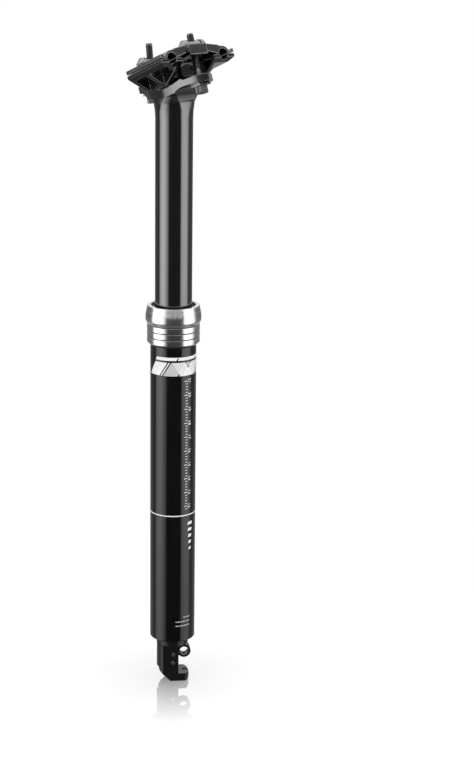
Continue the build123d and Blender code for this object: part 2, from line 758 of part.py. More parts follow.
# The lower cradle: rail troughs on a tapering keel, cut away behind and pocketed at its sides
cradle_top = -parting
edge_low = cradle_top - deck_edge
keel_side_low = -seat_drop - overrun
with BuildPart() as lower_cradle:
    with BuildSketch(clamp_end.offset(-clamp_rear)):
        with BuildLine():
            Polyline(
                (wing_half, cradle_top), (wing_half, edge_low), (keel_half, -keel_floor),
                (keel_half, keel_side_low), (-keel_half, keel_side_low), (-keel_half, -keel_floor),
                (-wing_half, edge_low), (-wing_half, cradle_top), close=True,
            )
        make_face()
        with Locations((rail_half_spacing, 0), (-rail_half_spacing, 0)):
            Circle(rail_r, mode=Mode.SUBTRACT)
    extrude(amount=clamp_rear + clamp_front)
    with BuildSketch(clamp_side):
        with Locations((-seat_back, centre_w)):
            Circle(seat_r)
    extrude(amount=wing_half, both=True, mode=Mode.INTERSECT)
    with BuildSketch(clamp_side):
        with BuildLine():
            Polyline(
                (-clamp_rear - overrun, edge_low + overrun * slope_back),
                (-keel_rear + overrun, edge_low - (clamp_rear - keel_rear + overrun) * slope_back),
                (-clamp_rear - overrun, edge_low - (clamp_rear - keel_rear + overrun) * slope_back),
                close=True,
            )
        make_face()
    extrude(amount=wing_half + overrun, both=True, mode=Mode.SUBTRACT)
    with BuildSketch(clamp_plan):
        with Locations((-cavity_front - clamp_rear / 2, 0)):
            Rectangle(clamp_rear, 2 * cavity_half)
    extrude(amount=seat_drop + overrun, both=True, mode=Mode.SUBTRACT)
    pocket_spans = (
        (-clamp_rear + web_thickness, middle_web_u),
        (middle_web_u + web_thickness, clamp_front - web_thickness),
    )
    with BuildSketch(clamp_plan.offset(-deck_floor)):
        for low_u, high_u in pocket_spans:
            for side in (1, -1):
                with Locations(((low_u + high_u) / 2, side * (pocket_side_half + wing_half / 2))):
                    Rectangle(high_u - low_u, wing_half)
    extrude(amount=-seat_drop, mode=Mode.SUBTRACT)
lower_cradle.part.label = "lower_cradle"

# The upper clamp: wings over the rails, a hump between them and saddles for the barrel nuts
with BuildPart() as upper_clamp:
    with BuildSketch(clamp_end.offset(-clamp_rear)):
        for side in (1, -1):
            with BuildLine():
                Polyline(
                    (side * wing_half, parting), (side * wing_half, lip_height),
                    (side * (wing_half - lip_width), lip_height),
                    (side * valley_outer_half, valley_height),
                    (side * valley_inner_half, valley_height),
                    (side * rail_half_spacing, arch_r),
                    (side * hump_edge_half, hump_edge_top), (side * hump_side_half, hump_side_top),
                    (side * hump_mid_half, hump_mid_top), (0, hump_top), (0, hump_floor),
                    (side * hump_floor_half, hump_floor),
                    (side * (rail_half_spacing - arch_r), parting), close=True,
                )
            make_face()
            with Locations((side * rail_half_spacing, 0)):
                Circle(arch_r)
        with Locations((0, parting - wing_half)):
            Rectangle(2 * wing_half + overrun, 2 * wing_half, mode=Mode.SUBTRACT)
        with Locations((rail_half_spacing, 0), (-rail_half_spacing, 0)):
            Circle(rail_r, mode=Mode.SUBTRACT)
    extrude(amount=clamp_front + clamp_rear)
    with BuildSketch(clamp_plan.offset(hump_floor)):
        with Locations((front_nut_u / 2, 0)):
            Rectangle(front_nut_u, 2 * saddle_half)
    extrude(amount=hump_mid_top - hump_floor)
    for nut_u, nut_w in nut_places.values():
        saddle_low = nut_w - nut_r - saddle_gap - saddle_floor
        saddle_r = nut_r + saddle_gap + saddle_wall
        with BuildSketch(clamp_side):
            with Locations((nut_u, nut_w)):
                Circle(nut_r + saddle_gap)
        extrude(amount=boss_half, both=True)
        with BuildSketch(clamp_plan.offset(saddle_low)):
            with Locations((nut_u, 0)):
                Rectangle(2 * saddle_r, 2 * saddle_half)
        extrude(amount=hump_mid_top - saddle_low)
    boss_ends = upper_clamp.faces().filter_by(GeomType.PLANE).filter_by(Axis.Y)
    boss_rims = boss_ends.edges().filter_by(GeomType.CIRCLE)
    boss_rims = [rim for rim in boss_rims if abs(abs(rim.center().Y) - boss_half) < pin_fit]
    chamfer(boss_rims, length=boss_slope)
    for end, (nut_u, nut_w) in nut_places.items():
        with BuildSketch(clamp_side):
            with Locations((nut_u, nut_w)):
                Circle(nut_r + saddle_gap)
            with Locations((nut_u, nut_w + nut_r)):
                Rectangle(2 * (nut_r + saddle_gap), 2 * nut_r)
        extrude(amount=nut_half + saddle_gap, both=True, mode=Mode.SUBTRACT)
        nut_x, nut_z = clamp_point(nut_u, nut_w)
        with BuildSketch(bolt_frames[end]):
            SlotOverall(2 * bolt_slot_half, 2 * (bolt_r + bolt_hole_gap))
        extrude(amount=bolt_frames[end].to_local_coords(Vector(nut_x, 0, nut_z)).Z, mode=Mode.SUBTRACT)
upper_clamp.part.label = "upper_clamp"


def clamp_bolt(name, frame):
    """A socket-head bolt, its head under the ear's washer."""
    with BuildPart() as bolt:
        with BuildSketch(frame.offset(-washer_base - bolt_head_height)):
            Circle(bolt_head_r)
        extrude(amount=bolt_head_height)
        chamfer(bolt.edges().sort_by(Axis(frame.origin, frame.z_dir))[0], length=bolt_tip_chamfer)
        with BuildSketch(frame.offset(-washer_base)):
            Circle(bolt_r)
        extrude(amount=bolt_length)
        chamfer(bolt.edges().sort_by(Axis(frame.origin, frame.z_dir))[-1], length=bolt_tip_chamfer)
        with BuildSketch(frame.offset(-washer_base - bolt_head_height)):
            RegularPolygon(socket_across / 2, 6, major_radius=False)
        extrude(amount=socket_depth, mode=Mode.SUBTRACT)
    bolt.part.label = name
    return bolt


def seat_washer(name, frame):
    """A washer with a round back, which rolls in the seat under its ear."""
    with BuildPart() as washer:
        with BuildSketch(frame_side(frame)):
            with Locations((0, washer_rise - washer_r)):
                Circle(washer_r)
            with Locations((0, -washer_base - washer_r)):
                Rectangle(4 * washer_r, 2 * washer_r, mode=Mode.SUBTRACT)
        extrude(amount=washer_half, both=True)
        with BuildSketch(frame):
            Circle(bolt_r + thread_fit)
        extrude(amount=washer_r, both=True, mode=Mode.SUBTRACT)
    washer.part.label = name
    return washer


def barrel_nut(name, frame, place):
    """A barrel nut across the clamp, drilled for its bolt."""
    with BuildPart() as nut:
        with BuildSketch(clamp_side):
            with Locations(place):
                Circle(nut_r)
        extrude(amount=nut_half, both=True)
        with BuildSketch(frame):
            Circle(bolt_r + running)
        extrude(amount=bolt_length + overrun, mode=Mode.SUBTRACT)
    nut.part.label = name
    return nut


pieces = [
    outer_tube, lock_collar, wiper_seal, upper_bushing, end_plug, actuator_bracket, lever_pin, stop_pin,
    actuator_lever, push_pin, return_spring, cartridge_rod, main_piston, piston_ring, valve_poppet,
    cartridge_tube, seal_head, rod_seal, cartridge_cap, floating_piston, floating_ring, cartridge_clip,
    guide_keys, lower_bushing, stanchion, lower_cradle, upper_clamp,
]
for end, frame in bolt_frames.items():
    pieces.append(clamp_bolt(f"{end}_bolt", frame))
    pieces.append(seat_washer(f"{end}_washer", frame))
    pieces.append(barrel_nut(f"{end}_nut", frame, nut_places[end]))

for piece in pieces:
    export_step(piece.part, f"parts/{piece.part.label}.step")
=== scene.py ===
import json
import math
import bpy
import bmesh
from mathutils import Matrix, Vector


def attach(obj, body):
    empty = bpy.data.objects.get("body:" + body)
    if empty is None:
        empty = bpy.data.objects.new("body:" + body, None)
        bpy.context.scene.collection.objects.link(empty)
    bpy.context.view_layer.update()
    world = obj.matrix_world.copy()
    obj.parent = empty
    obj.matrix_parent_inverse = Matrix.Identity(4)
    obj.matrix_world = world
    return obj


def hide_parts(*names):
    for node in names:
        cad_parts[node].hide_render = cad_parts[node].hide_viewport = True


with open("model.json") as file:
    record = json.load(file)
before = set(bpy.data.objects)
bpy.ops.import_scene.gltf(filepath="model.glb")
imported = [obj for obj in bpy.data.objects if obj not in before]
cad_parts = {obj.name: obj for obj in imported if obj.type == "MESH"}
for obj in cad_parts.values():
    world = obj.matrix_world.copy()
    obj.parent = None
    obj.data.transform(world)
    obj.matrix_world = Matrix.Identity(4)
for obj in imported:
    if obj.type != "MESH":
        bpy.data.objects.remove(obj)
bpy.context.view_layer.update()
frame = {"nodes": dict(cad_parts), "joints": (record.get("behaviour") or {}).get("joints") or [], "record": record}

cadNodes = frame["nodes"]
print("frame loaded:", len(cadNodes), "nodes")

mm = 0.001
viewAzimuth = 140.0  # degrees, from the post's axis to the camera
samePlace = 0.0000005  # metres, turned points closer than this become one
# colour sockets of the Mix node
mixFactor = 0
mixFirst = 6
mixSecond = 7
mixResult = 2


# Shared shader groups

def newGroup(name, inputs, outputs):
    group = bpy.data.node_groups.new(name, "ShaderNodeTree")
    for label, value in inputs:
        socket = group.interface.new_socket(label, in_out="INPUT", socket_type="NodeSocketFloat")
        socket.default_value = value
    for label, kind in outputs:
        group.interface.new_socket(label, in_out="OUTPUT", socket_type=kind)
    entry = group.nodes.new("NodeGroupInput")
    leave = group.nodes.new("NodeGroupOutput")
    return group, entry, leave


def mathNode(tree, operation, first, second=None):
    node = tree.nodes.new("ShaderNodeMath")
    node.operation = operation
    for index, value in enumerate((first, second)):
        if value is None:
            continue
        if isinstance(value, (int, float)):
            node.inputs[index].default_value = value
        else:
            tree.links.new(value, node.inputs[index])
    return node.outputs[0]


def noiseNode(tree, vector, scale, detail, rough=0.55):
    node = tree.nodes.new("ShaderNodeTexNoise")
    tree.links.new(vector, node.inputs["Vector"])
    if isinstance(scale, (int, float)):
        node.inputs["Scale"].default_value = scale
    else:
        tree.links.new(scale, node.inputs["Scale"])
    node.inputs["Detail"].default_value = detail
    node.inputs["Roughness"].default_value = rough
    return node.outputs["Fac"]


def stretched(tree, vector, factors):
    node = tree.nodes.new("ShaderNodeVectorMath")
    node.operation = "MULTIPLY"
    tree.links.new(vector, node.inputs[0])
    node.inputs[1].default_value = factors
    return node.outputs[0]


# of each noise: its scale where that is no input of its group, its detail and its roughness
grainNoise = {"grain": (2.0,), "clouds": (4.0,)}
turnedNoise = {"lines": (5200.0, 2.0, 0.7), "bands": (700.0, 3.0, 0.6), "wave": 0.35}
drawnNoise = {"streaks": (3.0, 0.6), "streakStretch": (1.0, 1.0, 0.012),
              "marks": (5.0, 0.65), "markStretch": (1.0, 1.0, 0.3)}
cornerSamples = 8


def buildGrainGroup():
    # even speckle for anodised, cast and rubber surfaces
    group, entry, leave = newGroup(
        "fineGrain", (("Grain Scale", 900.0), ("Cloud Scale", 45.0)),
        (("Grain", "NodeSocketFloat"), ("Clouds", "NodeSocketFloat")))
    coords = group.nodes.new("ShaderNodeTexCoord")
    grain = noiseNode(group, coords.outputs["Object"], entry.outputs["Grain Scale"], *grainNoise["grain"])
    clouds = noiseNode(group, coords.outputs["Object"], entry.outputs["Cloud Scale"], *grainNoise["clouds"])
    group.links.new(grain, leave.inputs["Grain"])
    group.links.new(clouds, leave.inputs["Clouds"])
    return group


def buildTurnedGroup():
    # lathe lines round the post's axis: value changes with height and a little with radius
    group, entry, leave = newGroup(
        "turnedLines", (("Line Pitch", 0.00016), ("Unevenness", 0.5)),
        (("Lines", "NodeSocketFloat"), ("Bands", "NodeSocketFloat")))
    coords = group.nodes.new("ShaderNodeTexCoord")
    split = group.nodes.new("ShaderNodeSeparateXYZ")
    group.links.new(coords.outputs["Object"], split.inputs[0])
    square = mathNode(group, "ADD", mathNode(group, "MULTIPLY", split.outputs[0], split.outputs[0]),
                      mathNode(group, "MULTIPLY", split.outputs[1], split.outputs[1]))
    radius = mathNode(group, "SQRT", square)
    place = mathNode(group, "ADD", split.outputs[2], radius)
    turns = mathNode(group, "DIVIDE", place, entry.outputs["Line Pitch"])
    wave = mathNode(group, "SINE", mathNode(group, "MULTIPLY", turns, 2 * math.pi))
    flat = group.nodes.new("ShaderNodeCombineXYZ")
    group.links.new(place, flat.inputs[2])
    uneven = noiseNode(group, flat.outputs[0], *turnedNoise["lines"])
    bands = noiseNode(group, flat.outputs[0], *turnedNoise["bands"])
    lines = mathNode(group, "ADD", mathNode(group, "MULTIPLY", wave, turnedNoise["wave"]),
                     mathNode(group, "MULTIPLY", uneven, entry.outputs["Unevenness"]))
    group.links.new(lines, leave.inputs["Lines"])
    group.links.new(bands, leave.inputs["Bands"])
    return group


def buildDrawnGroup():
    # long faint streaks up a drawn tube, and sparse handling marks
    group, entry, leave = newGroup(
        "drawnStreaks", (("Streak Scale", 2600.0), ("Mark Scale", 120.0)),
        (("Streaks", "NodeSocketFloat"), ("Marks", "NodeSocketFloat")))
    coords = group.nodes.new("ShaderNodeTexCoord")
    streaks = noiseNode(group, stretched(group, coords.outputs["Object"], drawnNoise["streakStretch"]),
                        entry.outputs["Streak Scale"], *drawnNoise["streaks"])
    marks = noiseNode(group, stretched(group, coords.outputs["Object"], drawnNoise["markStretch"]),
                      entry.outputs["Mark Scale"], *drawnNoise["marks"])
    group.links.new(streaks, leave.inputs["Streaks"])
    group.links.new(marks, leave.inputs["Marks"])
    return group


def buildCornerGroup():
    # softens the shading across sharp edges, as a broken corner does
    group, entry, leave = newGroup(
        "softCorner", (("Radius", 0.0003),), (("Normal", "NodeSocketVector"),))
    corner = group.nodes.new("ShaderNodeBevel")
    corner.samples = cornerSamples
    group.links.new(entry.outputs["Radius"], corner.inputs["Radius"])
    group.links.new(corner.outputs["Normal"], leave.inputs["Normal"])
    return group


grainGroup = buildGrainGroup()
turnedGroup = buildTurnedGroup()
drawnGroup = buildDrawnGroup()
cornerGroup = buildCornerGroup()
print("shader groups built")


# Materials

def placeGroup(tree, group, **values):
    node = tree.nodes.new("ShaderNodeGroup")
    node.node_tree = group
    for label, value in values.items():
        node.inputs[label].default_value = value
    return node


def spread(tree, value, low, high, start=0.3, end=0.7):
    node = tree.nodes.new("ShaderNodeMapRange")
    node.inputs["From Min"].default_value = start
    node.inputs["From Max"].default_value = end
    node.inputs["To Min"].default_value = low
    node.inputs["To Max"].default_value = high
    tree.links.new(value, node.inputs["Value"])
    return node.outputs["Result"]


def colourMix(tree, value, first, second):
    factor = spread(tree, value, 0.0, 1.0)
    node = tree.nodes.new("ShaderNodeMix")
    node.data_type = "RGBA"
    tree.links.new(factor, node.inputs[mixFactor])
    node.inputs[mixFirst].default_value = (*first, 1.0)
    node.inputs[mixSecond].default_value = (*second, 1.0)
    return node.outputs[mixResult]


def bumpInto(tree, shader, height, strength, distance, corner=0.0):
    node = tree.nodes.new("ShaderNodeBump")
    if corner:
        soft = placeGroup(tree, cornerGroup, Radius=corner * mm)
        tree.links.new(soft.outputs["Normal"], node.inputs["Normal"])
    node.inputs["Strength"].default_value = strength
    node.inputs["Distance"].default_value = distance
    tree.links.new(height, node.inputs["Height"])
    tree.links.new(node.outputs["Normal"], shader.inputs["Normal"])


def newMaterial(name):
    material = bpy.data.materials.new(name)
    material.use_nodes = True
    tree = material.node_tree
    shader = tree.nodes["Principled BSDF"]
    return material, tree, shader


# metres of bump; the strength and the soft corner's radius in millimetres are in each finish
bumpDepth = {"gloss": 0.00002, "satin": 0.00003, "turned": 0.000015}

gloss = {
    "tubeBlack": {"dark": (0.002, 0.002, 0.0022), "light": (0.0045, 0.0043, 0.0045), "smooth": 0.06,
                  "rough": 0.11, "specular": 0.6, "ior": 1.5, "bump": 0.05, "corner": 0.0},
    "postBlack": {"dark": (0.0018, 0.0018, 0.002), "light": (0.004, 0.0039, 0.004), "smooth": 0.07,
                  "rough": 0.12, "specular": 1.0, "ior": 1.72, "bump": 0.05, "corner": 0.5},
    "forgedBlack": {"dark": (0.002, 0.002, 0.0022), "light": (0.006, 0.006, 0.006), "smooth": 0.05,
                    "rough": 0.1, "specular": 1.0, "ior": 1.68, "bump": 0.05, "corner": 0.9},
}


def glossBlack(name):
    look = gloss[name]
    material, tree, shader = newMaterial(name)
    drawn = placeGroup(tree, drawnGroup)
    tree.links.new(colourMix(tree, drawn.outputs["Marks"], look["dark"], look["light"]),
                   shader.inputs["Base Color"])
    tree.links.new(spread(tree, drawn.outputs["Marks"], look["smooth"], look["rough"]),
                   shader.inputs["Roughness"])
    shader.inputs["Specular IOR Level"].default_value = look["specular"]
    shader.inputs["IOR"].default_value = look["ior"]
    bumpInto(tree, shader, drawn.outputs["Streaks"], look["bump"], bumpDepth["gloss"], look["corner"])
    return material


satin = {
    "footBlack": {"dark": (0.003, 0.003, 0.0032), "light": (0.008, 0.008, 0.0085), "metal": 0.0,
                  "smooth": 0.2, "rough": 0.32, "grain": 1400.0, "bump": 0.12, "specular": 0.45,
                  "corner": 0.4},
    "clampGrey": {"dark": (0.17, 0.17, 0.172), "light": (0.235, 0.235, 0.238), "metal": 1.0,
                  "smooth": 0.16, "rough": 0.24, "grain": 1100.0, "bump": 0.03, "specular": 0.5,
                  "corner": 0.9},
    # painted shade laid into the collar's grooves, darker than the bright rings beside them
    "paintedGrooveShade": {"dark": (0.1, 0.1, 0.1), "light": (0.16, 0.16, 0.16), "metal": 1.0,
                    "smooth": 0.35, "rough": 0.5, "grain": 1100.0, "bump": 0.1, "specular": 0.5},
    "boltSteel": {"dark": (0.11, 0.107, 0.104), "light": (0.2, 0.195, 0.19), "metal": 1.0,
                  "smooth": 0.22, "rough": 0.34, "grain": 1500.0, "bump": 0.1, "specular": 0.5},
    "cartridgeSilver": {"dark": (0.55, 0.55, 0.57), "light": (0.68, 0.68, 0.7), "metal": 1.0,
                        "smooth": 0.2, "rough": 0.34, "grain": 1300.0, "bump": 0.08, "specular": 0.5},
    "brightSteel": {"dark": (0.5, 0.5, 0.5), "light": (0.66, 0.66, 0.65), "metal": 1.0,
                    "smooth": 0.2, "rough": 0.32, "grain": 1600.0, "bump": 0.08, "specular": 0.5},
    "rodSteel": {"dark": (0.6, 0.6, 0.62), "light": (0.72, 0.72, 0.74), "metal": 1.0,
                 "smooth": 0.06, "rough": 0.12, "grain": 1800.0, "bump": 0.04, "specular": 0.5},
    "springSteel": {"dark": (0.3, 0.3, 0.31), "light": (0.42, 0.42, 0.43), "metal": 1.0,
                    "smooth": 0.25, "rough": 0.4, "grain": 1500.0, "bump": 0.1, "specular": 0.5},
    "brassYellow": {"dark": (0.45, 0.3, 0.1), "light": (0.62, 0.45, 0.18), "metal": 1.0,
                    "smooth": 0.22, "rough": 0.36, "grain": 1400.0, "bump": 0.1, "specular": 0.5},
    "bushingPolymer": {"dark": (0.03, 0.03, 0.032), "light": (0.06, 0.06, 0.063), "metal": 0.0,
                       "smooth": 0.45, "rough": 0.6, "grain": 900.0, "bump": 0.15, "specular": 0.4},
    "sealRubber": {"dark": (0.008, 0.008, 0.008), "light": (0.018, 0.018, 0.018), "metal": 0.0,
                   "smooth": 0.5, "rough": 0.7, "grain": 1500.0, "bump": 0.3, "specular": 0.35},
    "printWhite": {"dark": (0.8, 0.8, 0.79), "light": (0.88, 0.88, 0.87), "metal": 0.0,
                   "smooth": 0.35, "rough": 0.5, "grain": 1900.0, "bump": 0.1, "specular": 0.4},
    "printGrey": {"dark": (0.42, 0.42, 0.41), "light": (0.56, 0.56, 0.55), "metal": 0.0,
                  "smooth": 0.35, "rough": 0.5, "grain": 1900.0, "bump": 0.1, "specular": 0.4},
}


def satinMetal(name):
    look = satin[name]
    material, tree, shader = newMaterial(name)
    grain = placeGroup(tree, grainGroup, **{"Grain Scale": look["grain"]})
    tree.links.new(colourMix(tree, grain.outputs["Clouds"], look["dark"], look["light"]),
                   shader.inputs["Base Color"])
    tree.links.new(spread(tree, grain.outputs["Grain"], look["smooth"], look["rough"]),
                   shader.inputs["Roughness"])
    shader.inputs["Metallic"].default_value = look["metal"]
    shader.inputs["Specular IOR Level"].default_value = look["specular"]
    bumpInto(tree, shader, grain.outputs["Grain"], look["bump"], bumpDepth["satin"],
             look.get("corner", 0.0))
    return material


turnedSilver = {"dark": (0.6, 0.6, 0.61), "light": (0.78, 0.78, 0.78), "smooth": 0.14, "rough": 0.26,
                "pitch": 0.00016, "bump": 0.1}


def turnedMetal(name, look):
    material, tree, shader = newMaterial(name)
    turned = placeGroup(tree, turnedGroup, **{"Line Pitch": look["pitch"]})
    tree.links.new(colourMix(tree, turned.outputs["Bands"], look["dark"], look["light"]),
                   shader.inputs["Base Color"])
    tree.links.new(spread(tree, turned.outputs["Bands"], look["smooth"], look["rough"]),
                   shader.inputs["Roughness"])
    shader.inputs["Metallic"].default_value = 1.0
    bumpInto(tree, shader, turned.outputs["Lines"], look["bump"], bumpDepth["turned"])
    return material


finishes = {name: satinMetal(name) for name in satin}
finishes.update({name: glossBlack(name) for name in gloss})
finishes["turnedSilver"] = turnedMetal("turnedSilver", turnedSilver)
print("materials built:", len(finishes))

# finish of each CAD node
dress = {
    "outer_tube": "tubeBlack", "stanchion": "postBlack", "lock_collar": "turnedSilver",
    "wiper_seal": "sealRubber", "upper_bushing": "bushingPolymer", "end_plug": "cartridgeSilver",
    "actuator_bracket": "footBlack", "lever_pin": "brightSteel", "stop_pin": "brightSteel",
    "actuator_lever": "footBlack", "push_pin": "rodSteel", "return_spring": "springSteel",
    "cartridge_rod": "rodSteel", "main_piston": "cartridgeSilver", "piston_ring": "sealRubber",
    "valve_poppet": "brassYellow", "cartridge_tube": "cartridgeSilver", "seal_head": "cartridgeSilver",
    "rod_seal": "sealRubber", "cartridge_cap": "cartridgeSilver", "floating_piston": "bushingPolymer",
    "floating_ring": "sealRubber", "cartridge_clip": "springSteel", "guide_keys": "brassYellow",
    "lower_bushing": "bushingPolymer", "lower_cradle": "forgedBlack", "upper_clamp": "clampGrey",
    "front_bolt": "boltSteel", "front_washer": "brightSteel", "front_nut": "clampGrey",
    "rear_bolt": "boltSteel", "rear_washer": "brightSteel", "rear_nut": "clampGrey",
}
for nodeName, finish in dress.items():
    mesh = cadNodes[nodeName].data
    mesh.materials.clear()
    mesh.materials.append(finishes[finish])

bodyOf = {node: body for body, members in frame["record"]["behaviour"]["bodies"].items()
          for node in members}


# Pieces

def newPiece(name, bm, body, finish, replaced=()):
    mesh = bpy.data.meshes.new(name)
    bm.to_mesh(mesh)
    bm.free()
    mesh.materials.append(finishes[finish])
    piece = bpy.data.objects.new(name, mesh)
    bpy.context.scene.collection.objects.link(piece)
    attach(piece, body)
    for node in replaced:
        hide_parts(node)
    return piece


def softEdges(bm, angle):
    for face in bm.faces:
        face.smooth = True
    for edge in bm.edges:
        edge.smooth = edge.is_manifold and edge.calc_face_angle(0.0) < math.radians(angle)


# smooth copies of the solids: the angle in degrees from which an edge counts as one, and its
# radius in millimetres; a radius of 0 leaves it sharp, and the finish shades it soft
rounded = {
    "stanchion": {"radius": 0.0, "angle": 32.0},
    "outer_tube": {"radius": 0.25, "angle": 30.0},
    "lock_collar": {"radius": 0.12, "angle": 14.0},
    "wiper_seal": {"radius": 0.12, "angle": 30.0},
    "actuator_bracket": {"radius": 0.0, "angle": 32.0},
    "actuator_lever": {"radius": 0.15, "angle": 30.0},
    "lever_pin": {"radius": 0.15, "angle": 30.0},
    "stop_pin": {"radius": 0.15, "angle": 30.0},
    "lower_cradle": {"radius": 0.0, "angle": 20.0},
    "upper_clamp": {"radius": 0.0, "angle": 20.0},
    "front_washer": {"radius": 0.15, "angle": 30.0},
    "rear_washer": {"radius": 0.15, "angle": 30.0},
    "front_nut": {"radius": 0.2, "angle": 30.0},
    "rear_nut": {"radius": 0.2, "angle": 30.0},
}
copyLook = {"samePlace": 0.000002, "flatAngle": 0.4, "bevelSegments": 2}


def roundedCopy(node, look):
    bm = bmesh.new()
    bm.from_mesh(cadNodes[node].data)
    bmesh.ops.remove_doubles(bm, verts=bm.verts, dist=copyLook["samePlace"])
    bmesh.ops.dissolve_limit(bm, angle_limit=math.radians(copyLook["flatAngle"]), verts=bm.verts,
                             edges=bm.edges, use_dissolve_boundaries=False)
    softEdges(bm, look["angle"])
    words = node.split("_")
    name = words[0] + "".join(word.title() for word in words[1:]) + "Rounded"
    piece = newPiece(name, bm, bodyOf[node], dress[node], [node])
    if look["radius"]:
        bevel = piece.modifiers.new("edges", "BEVEL")
        bevel.width = look["radius"] * mm
        bevel.segments = copyLook["bevelSegments"]
        bevel.limit_method = "ANGLE"
        bevel.angle_limit = math.radians(look["angle"])
        bevel.harden_normals = True
    return piece


copies = {node: roundedCopy(node, look) for node, look in rounded.items()}

# painted shade: the collar's grooves get a darker finish between its bright rings, all in millimetres
collarGrooves = {"rings": 18.05, "inside": 16.9, "top": 16.5, "bottom": 2.2}
collarMesh = copies["lock_collar"].data
collarMesh.materials.append(finishes["paintedGrooveShade"])
for face in collarMesh.polygons:
    reach = face.center.xy.length / mm
    height = face.center.z / mm
    sunk = collarGrooves["inside"] < reach < collarGrooves["rings"]
    if sunk and collarGrooves["bottom"] < height < collarGrooves["top"]:
        face.material_index = 1
print("rounded copies made:", len(rounded))

# socket bolts with a real thread, a fluted head and a hexagon socket, in millimetres
boltLook = {"shaft": 2.05, "crest": 2.49, "pitch": 0.8, "length": 35.0, "head": 4.25, "headHeight": 5.0,
            "socket": 2.0, "socketRim": 2.35, "socketDepth": 3.0, "threaded": 24.0, "runout": 1.0,
            "flutes": 48, "fluteShare": 0.975, "rimBand": 0.02, "chamfer": 0.45, "washerBase": 1.9,
            "turnSteps": 28, "ridgeRoot": 1.93, "ridgeStart": 0.3, "seatDepth": 4.6,
            "smoothAngle": 28.0}
hexSides = 6


def boltFrame(node):
    # the bolt's own seat point and direction, from the record's joints
    joints = {joint["name"]: joint for joint in frame["joints"]}
    end = node.split("_")[0]
    pivot = Vector(joints[end + "_bolt_swing"]["pos_m"])
    along = Vector(joints[end + "_nut_slide"]["axis"]).normalized()
    seat = pivot + along * boltLook["seatDepth"] * mm
    side = Vector((0.0, 1.0, 0.0))
    across = side.cross(along)
    turn = Matrix((across, side, along)).transposed().to_4x4()
    return Matrix.Translation(seat) @ turn


def lathe(bm, outline, steps):
    verts = [bm.verts.new((r * mm, 0.0, z * mm)) for r, z in outline]
    edges = [bm.edges.new(pair) for pair in zip(verts, verts[1:])]
    bmesh.ops.spin(bm, geom=verts + edges, cent=(0, 0, 0), axis=(0, 0, 1), angle=2 * math.pi,
                   steps=steps, use_merge=True)
    bmesh.ops.remove_doubles(bm, verts=bm.verts, dist=samePlace)


def threadedBolt(node):
    look = boltLook
    bm = bmesh.new()
    base = -look["washerBase"]
    bottom = base - look["headHeight"]
    top = base + look["length"]
    thread = top - look["threaded"]
    chamfer = look["chamfer"]
    steps = 2 * look["flutes"]
    lathe(bm, (
        (look["socketRim"], bottom), (look["head"] - chamfer, bottom),
        (look["head"], bottom + chamfer), (look["head"], base - chamfer / 2),
        (look["head"] - chamfer / 2, base), (look["crest"], base),
        (look["crest"], thread - look["runout"]), (look["shaft"], thread),
        (look["shaft"], top - chamfer), (look["shaft"] - chamfer, top), (0.0, top)), steps)
    for vert in bm.verts:  # flutes round the head
        radius = vert.co.xy.length / mm
        if abs(radius - look["head"]) < look["rimBand"]:
            step = round(math.atan2(vert.co.y, vert.co.x) / (2 * math.pi / steps))
            if step % 2:
                vert.co.xy *= look["fluteShare"]
    rim = [edge for edge in bm.edges if edge.is_boundary]
    hexReach = look["socket"] / math.cos(math.pi / hexSides) * mm
    hexagon = bmesh.ops.create_circle(bm, cap_ends=False, segments=hexSides, radius=hexReach)
    hexVerts = hexagon["verts"]
    bmesh.ops.translate(bm, verts=hexVerts, vec=(0, 0, bottom * mm))
    hexEdges = list({edge for vert in hexVerts for edge in vert.link_edges})
    cut = bmesh.ops.subdivide_edges(bm, edges=hexEdges, cuts=steps // hexSides - 1)
    hexEdges = [edge for edge in cut["geom"] if isinstance(edge, bmesh.types.BMEdge)]
    hexEdges = list({edge for edge in hexEdges if edge.is_wire})
    bmesh.ops.bridge_loops(bm, edges=rim + hexEdges)
    well = bmesh.ops.extrude_edge_only(bm, edges=hexEdges)
    wellVerts = [item for item in well["geom"] if isinstance(item, bmesh.types.BMVert)]
    wellEdges = [item for item in well["geom"]
                 if isinstance(item, bmesh.types.BMEdge) and item.is_boundary]
    bmesh.ops.translate(bm, verts=wellVerts, vec=(0, 0, look["socketDepth"] * mm))
    bmesh.ops.holes_fill(bm, edges=wellEdges, sides=0)
    # the thread: a small three-cornered ridge wound up the shaft
    pitch = look["pitch"]
    turns = math.floor((look["threaded"] - look["runout"]) / pitch)
    start = thread + look["ridgeStart"]
    corners = [bm.verts.new((r * mm, 0.0, z * mm)) for r, z in (
        (look["ridgeRoot"], start), (look["crest"], start + pitch / 2),
        (look["ridgeRoot"], start + pitch))]
    ridge = [bm.edges.new((corners[i], corners[(i + 1) % 3])) for i in range(3)]
    bm.faces.new(corners)
    wound = bmesh.ops.spin(bm, geom=corners + ridge, cent=(0, 0, 0), axis=(0, 0, 1),
                           angle=2 * math.pi * turns, steps=look["turnSteps"] * turns,
                           dvec=(0, 0, pitch / look["turnSteps"] * mm))
    lastEdges = [item for item in wound["geom_last"] if isinstance(item, bmesh.types.BMEdge)]
    bmesh.ops.holes_fill(bm, edges=lastEdges, sides=0)
    bmesh.ops.recalc_face_normals(bm, faces=bm.faces)
    softEdges(bm, look["smoothAngle"])
    bmesh.ops.transform(bm, matrix=boltFrame(node), verts=bm.verts)
    words = node.split("_")
    newPiece(words[0] + words[1].title(), bm, bodyOf[node], dress[node], [node])


for node in ("front_bolt", "rear_bolt"):
    threadedBolt(node)
print("bolts threaded")

